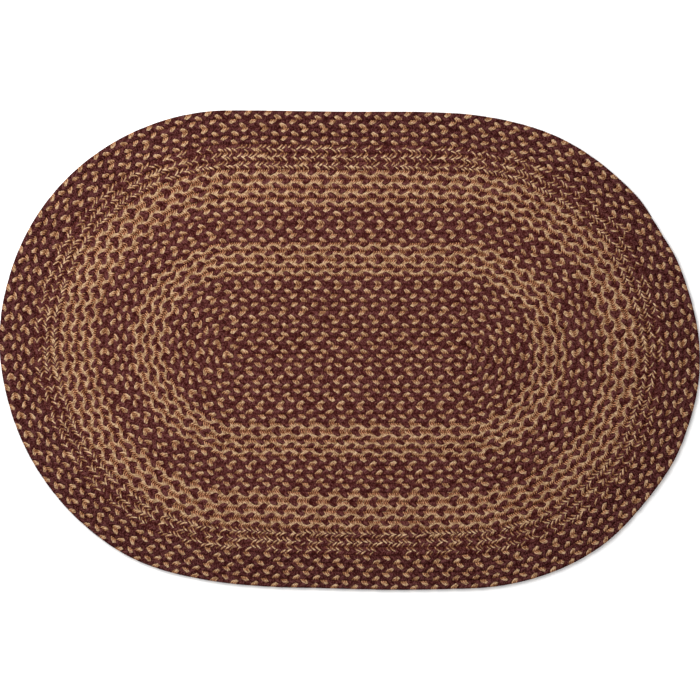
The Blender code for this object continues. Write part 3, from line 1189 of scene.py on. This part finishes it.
# %% [markdown]
# All the pieces are one rug. Its flat area is that of the outline, because the rug lies flat already.

def flat_area(points):
    """The area inside an outline, from the triangle that each edge makes with the origin."""
    area = 0.0
    for here, there in zip(points, (*points[1:], points[0])):
        area += (there[0] * here[1] - here[0] * there[1]) / 2
    return abs(area)


for piece in (*braids, body):
    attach(piece, "root")
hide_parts("braided_rug")
area = flat_area(outline)
print(f"flat area {area:.4f} square metres")

# %% [markdown]
# The rug lies on a plain pale floor, as on the table of a photographer's studio. One large flat face is
# enough for it. It has no gloss, so nothing is mirrored in it.

# %% Floor
FLOOR_HALF = 6.0
FLOOR_COLOUR = (0.97, 0.97, 0.97, 1)


def make_floor():
    material = bpy.data.materials.new("pale floor")
    material.use_nodes = True
    shader = material.node_tree.nodes["Principled BSDF"]
    shader.inputs["Base Color"].default_value = FLOOR_COLOUR
    shader.inputs["Roughness"].default_value = 1.0
    shader.inputs["Specular IOR Level"].default_value = 0.0
    bm = bmesh.new()
    bmesh.ops.create_grid(bm, x_segments=1, y_segments=1, size=FLOOR_HALF)
    mesh = bpy.data.meshes.new("floor")
    bm.to_mesh(mesh)
    bm.free()
    mesh.materials.append(material)
    floor = bpy.data.objects.new("floor", mesh)
    bpy.context.scene.collection.objects.link(floor)
    return floor


floor = make_floor()
print(f"the floor is {2 * FLOOR_HALF:.0f} m wide")

# %% [markdown]
# The light is soft and even. Most of it comes from all round, and one large soft box hangs over the upper
# left of the picture, so that side of the rug is a little lighter and every strand has a faint shade.

# %% Light
SOFTBOX_PLACE = (-0.58, 0.63, 1.25)
SOFTBOX_SIZE = 1.3
SOFTBOX_WATTS = 29.5
ROOM_LIGHT = 0.72

data = bpy.data.lights.new("softbox", "AREA")
data.shape = "SQUARE"
data.size = SOFTBOX_SIZE
data.energy = SOFTBOX_WATTS
softbox = bpy.data.objects.new("softbox", data)
softbox.location = SOFTBOX_PLACE
softbox.rotation_euler = (-Vector(SOFTBOX_PLACE)).to_track_quat("-Z", "Y").to_euler()
bpy.context.scene.collection.objects.link(softbox)

world = bpy.data.worlds.new("studio")
bpy.context.scene.world = world
world.use_nodes = True
world.node_tree.nodes["Background"].inputs["Color"].default_value = (1.0, 1.0, 1.0, 1)
world.node_tree.nodes["Background"].inputs["Strength"].default_value = ROOM_LIGHT
bpy.context.scene.view_settings.view_transform = "Standard"
print(f"the soft box is {softbox.location.length:.2f} m from the middle of the rug")

# %% [markdown]
# The camera looks straight down through a long lens, so that the rug keeps its shape. Its height follows
# from the rug's own length: the rug fills the picture's width almost to the last pixel.

# %% Camera
IMAGE_WIDTH = 700
RUG_PIXELS = 699.5  # how much of the picture's width the rug fills
OFF_CENTRE = (-0.3, 0.6)  # how far the rug's middle lies from the picture's, in pixels, right and up
LENS = 135.0
SENSOR = 36.0

metres_per_pixel = LENGTH / RUG_PIXELS
camera_data = bpy.data.cameras.new("camera")
camera_data.lens = LENS
camera_data.sensor_width = SENSOR
camera = bpy.data.objects.new("camera", camera_data)
seen_width = IMAGE_WIDTH * metres_per_pixel
camera.location = (-OFF_CENTRE[0] * metres_per_pixel, -OFF_CENTRE[1] * metres_per_pixel,
                   THICKNESS / 2 + seen_width * LENS / SENSOR)
bpy.context.scene.collection.objects.link(camera)
bpy.context.scene.camera = camera
print(f"the camera is {camera.location.z:.2f} m up")
